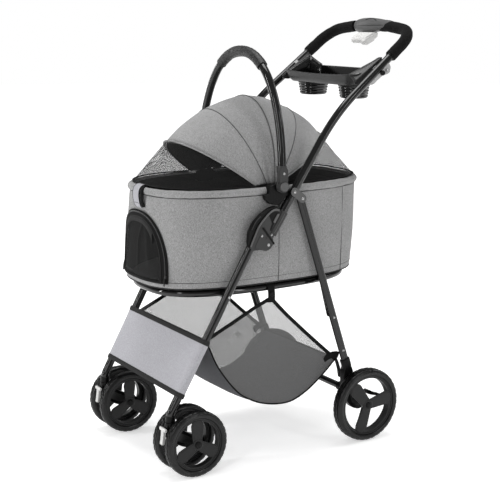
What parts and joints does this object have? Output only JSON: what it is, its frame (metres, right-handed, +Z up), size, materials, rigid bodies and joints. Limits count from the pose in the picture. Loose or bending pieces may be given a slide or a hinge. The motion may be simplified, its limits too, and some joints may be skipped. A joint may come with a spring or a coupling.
{
  "type": "pet stroller",
  "caption": "Folding pet stroller with swivel front wheels, a lift-off fabric carrier with canopy and mesh door, a storage basket and a parent tray.",
  "frame": {"origin": "on the floor, under the middle of the overall box", "axes": "+Z up, the stroller faces -Y, +X is its own left"},
  "size_m": [0.4536, 0.719, 1.004],
  "materials": {
    "gloss_tube": "gloss black powder coat",
    "satin_tube": "satin black powder coat",
    "dark_plastic": "moulded, fine texture",
    "cover_plastic": "dark grey, semi gloss",
    "light_plastic": "light grey, moulded",
    "body_fabric": "grey melange polyester weave",
    "panel_fabric": "pale grey fine weave",
    "basket_fabric": "charcoal weave and mesh",
    "black_mesh": "black net with woven binding",
    "cushion_fabric": "soft grey padded cloth",
    "webbing": "woven tape",
    "foam": "closed-cell foam",
    "grip_leather": "black grained sleeve",
    "tyre": "moulded black, ribbed tread",
    "rivet": "bright rivet"
  },
  "bodies": {
    "front_frame": {"front_leg_left": "gloss_tube", "front_leg_right": "gloss_tube", "base_ring": "gloss_tube", "front_crossbar": "gloss_tube", "front_panel": "panel_fabric", "fold_bracket_left": "dark_plastic", "fold_bracket_right": "dark_plastic", "fold_pin_left": "rivet", "fold_pin_right": "rivet", "storage_basket": "basket_fabric"},
    "handle_frame": {"handle_tube": "gloss_tube", "foam_grip_left": "foam", "foam_grip_right": "foam", "grip_cover": "cover_plastic", "parent_tray": "dark_plastic", "tray_clamp_left": "light_plastic", "tray_clamp_right": "light_plastic", "gusset_left": "dark_plastic", "gusset_right": "dark_plastic"},
    "release_button": {"release_button": "light_plastic"},
    "fold_latch_left": {"fold_latch_left": "light_plastic"},
    "fold_latch_right": {"fold_latch_right": "light_plastic"},
    "rear_legs": {"rear_leg_left": "satin_tube", "rear_leg_right": "satin_tube", "rear_crossbar": "gloss_tube", "wheel_bracket_left": "dark_plastic", "wheel_bracket_right": "dark_plastic"},
    "ring_link_left": {"ring_link_left": "satin_tube"},
    "ring_link_right": {"ring_link_right": "satin_tube"},
    "carrier": {"carrier_shell": "body_fabric", "carrier_rim": "body_fabric", "floor_cushion": "cushion_fabric", "side_hub_left": "dark_plastic", "side_hub_right": "dark_plastic", "canopy": "body_fabric", "front_strap": "webbing"},
    "canopy_bow": {"canopy_bow": "gloss_tube"},
    "front_door": {"front_door": "black_mesh"},
    "carry_handle": {"carry_handle": "gloss_tube", "carry_grip": "grip_leather"},
    "caster_left": {"caster_body_left": "dark_plastic"},
    "swivel_lock_left": {"swivel_lock_left": "light_plastic"},
    "wheel_front_left_outer": {"tyre_front_left_outer": "tyre", "rim_front_left_outer": "dark_plastic"},
    "wheel_front_left_inner": {"tyre_front_left_inner": "tyre", "rim_front_left_inner": "dark_plastic"},
    "wheel_rear_left": {"tyre_rear_left": "tyre", "rim_rear_left": "dark_plastic"},
    "brake_pedal_left": {"brake_pedal_left": "light_plastic"},
    "caster_right": {"caster_body_right": "dark_plastic"},
    "swivel_lock_right": {"swivel_lock_right": "light_plastic"},
    "wheel_front_right_outer": {"tyre_front_right_outer": "tyre", "rim_front_right_outer": "dark_plastic"},
    "wheel_front_right_inner": {"tyre_front_right_inner": "tyre", "rim_front_right_inner": "dark_plastic"},
    "wheel_rear_right": {"tyre_rear_right": "tyre", "rim_rear_right": "dark_plastic"},
    "brake_pedal_right": {"brake_pedal_right": "light_plastic"},
    "handle_button_left": {"handle_button_left": "light_plastic"},
    "handle_button_right": {"handle_button_right": "light_plastic"}
  },
  "joints": [
    {"name": "frame_fold", "type": "hinge", "parent": "front_frame", "child": "handle_frame", "pos_m": [0, -0.0915, 0.507], "axis": [-1, 0, 0], "range_deg": [0, 95], "deforming": ["storage_basket"]},
    {"name": "rear_leg_fold", "type": "hinge", "parent": "handle_frame", "child": "rear_legs", "pos_m": [0, 0.0025, 0.604], "axis": [-1, 0, 0], "range_deg": [-57, 0]},
    {"name": "ring_link_swing_left", "type": "hinge", "parent": "front_frame", "child": "ring_link_left", "pos_m": [0.1678, 0.0775, 0.401], "axis": [-1, 0, 0], "range_deg": [0, 42.75]},
    {"name": "ring_link_swing_right", "type": "hinge", "parent": "front_frame", "child": "ring_link_right", "pos_m": [-0.1678, 0.0775, 0.401], "axis": [-1, 0, 0], "range_deg": [0, 42.75]},
    {"name": "carrier_lift", "type": "slide", "parent": "front_frame", "child": "carrier", "axis": [0, -0.5291, 0.8486], "range_m": [0, 0.35]},
    {"name": "carry_handle_swing", "type": "hinge", "parent": "carrier", "child": "carry_handle", "pos_m": [0, -0.0505, 0.635], "axis": [1, 0, 0], "range_deg": [0, 80]},
    {"name": "canopy_fold", "type": "hinge", "parent": "carrier", "child": "canopy_bow", "pos_m": [0, -0.0965, 0.635], "axis": [-1, 0, 0], "range_deg": [0, 60], "deforming": ["canopy"]},
    {"name": "front_door_open", "type": "hinge", "parent": "carrier", "child": "front_door", "pos_m": [0, -0.3275, 0.4235], "axis": [1, 0, 0], "range_deg": [0, 105]},
    {"name": "caster_swivel_left", "type": "hinge", "parent": "front_frame", "child": "caster_left", "pos_m": [0.171, -0.3325, 0.128], "axis": [0, 0, 1], "continuous": true},
    {"name": "swivel_lock_flip_left", "type": "hinge", "parent": "caster_left", "child": "swivel_lock_left", "pos_m": [0.171, -0.3501, 0.116], "axis": [-1, 0, 0], "range_deg": [0, 30]},
    {"name": "wheel_spin_front_left_outer", "type": "hinge", "parent": "caster_left", "child": "wheel_front_left_outer", "pos_m": [0.1985, -0.2835, 0.076], "axis": [1, 0, 0], "continuous": true},
    {"name": "wheel_spin_front_left_inner", "type": "hinge", "parent": "caster_left", "child": "wheel_front_left_inner", "pos_m": [0.1435, -0.2835, 0.076], "axis": [1, 0, 0], "continuous": true},
    {"name": "wheel_spin_rear_left", "type": "hinge", "parent": "rear_legs", "child": "wheel_rear_left", "pos_m": [0.21, 0.1795, 0.089], "axis": [1, 0, 0], "continuous": true},
    {"name": "brake_press_left", "type": "hinge", "parent": "rear_legs", "child": "brake_pedal_left", "pos_m": [0.181, 0.2035, 0.109], "axis": [-1, 0, 0], "range_deg": [0, 15]},
    {"name": "caster_swivel_right", "type": "hinge", "parent": "front_frame", "child": "caster_right", "pos_m": [-0.171, -0.3325, 0.128], "axis": [0, 0, 1], "continuous": true},
    {"name": "swivel_lock_flip_right", "type": "hinge", "parent": "caster_right", "child": "swivel_lock_right", "pos_m": [-0.171, -0.3501, 0.116], "axis": [-1, 0, 0], "range_deg": [0, 30]},
    {"name": "wheel_spin_front_right_outer", "type": "hinge", "parent": "caster_right", "child": "wheel_front_right_outer", "pos_m": [-0.1985, -0.2835, 0.076], "axis": [1, 0, 0], "continuous": true},
    {"name": "wheel_spin_front_right_inner", "type": "hinge", "parent": "caster_right", "child": "wheel_front_right_inner", "pos_m": [-0.1435, -0.2835, 0.076], "axis": [1, 0, 0], "continuous": true},
    {"name": "wheel_spin_rear_right", "type": "hinge", "parent": "rear_legs", "child": "wheel_rear_right", "pos_m": [-0.21, 0.1795, 0.089], "axis": [1, 0, 0], "continuous": true},
    {"name": "brake_press_right", "type": "hinge", "parent": "rear_legs", "child": "brake_pedal_right", "pos_m": [-0.181, 0.2035, 0.109], "axis": [-1, 0, 0], "range_deg": [0, 15]},
    {"name": "release_button_press", "type": "slide", "parent": "handle_frame", "child": "release_button", "axis": [0, 0, 1], "range_m": [0, 0.003], "stiffness_N_per_m": 300},
    {"name": "fold_latch_slide_left", "type": "slide", "parent": "front_frame", "child": "fold_latch_left", "axis": [0, 0.5601, 0.8284], "range_m": [0, 0.006]},
    {"name": "handle_button_press_left", "type": "slide", "parent": "carry_handle", "child": "handle_button_left", "axis": [-1, 0, 0], "range_m": [0, 0.003], "stiffness_N_per_m": 300},
    {"name": "fold_latch_slide_right", "type": "slide", "parent": "front_frame", "child": "fold_latch_right", "axis": [0, 0.5601, 0.8284], "range_m": [0, 0.006]},
    {"name": "handle_button_press_right", "type": "slide", "parent": "carry_handle", "child": "handle_button_right", "axis": [1, 0, 0], "range_m": [0, 0.003], "stiffness_N_per_m": 300}
  ],
  "couplings": [
    {"joint": "rear_leg_fold", "follows": "frame_fold", "ratio": -0.6},
    {"joint": "ring_link_swing_left", "follows": "frame_fold", "ratio": 0.45},
    {"joint": "fold_latch_slide_left", "follows": "release_button_press", "ratio": 2},
    {"joint": "ring_link_swing_right", "follows": "frame_fold", "ratio": 0.45},
    {"joint": "fold_latch_slide_right", "follows": "release_button_press", "ratio": 2}
  ]
}
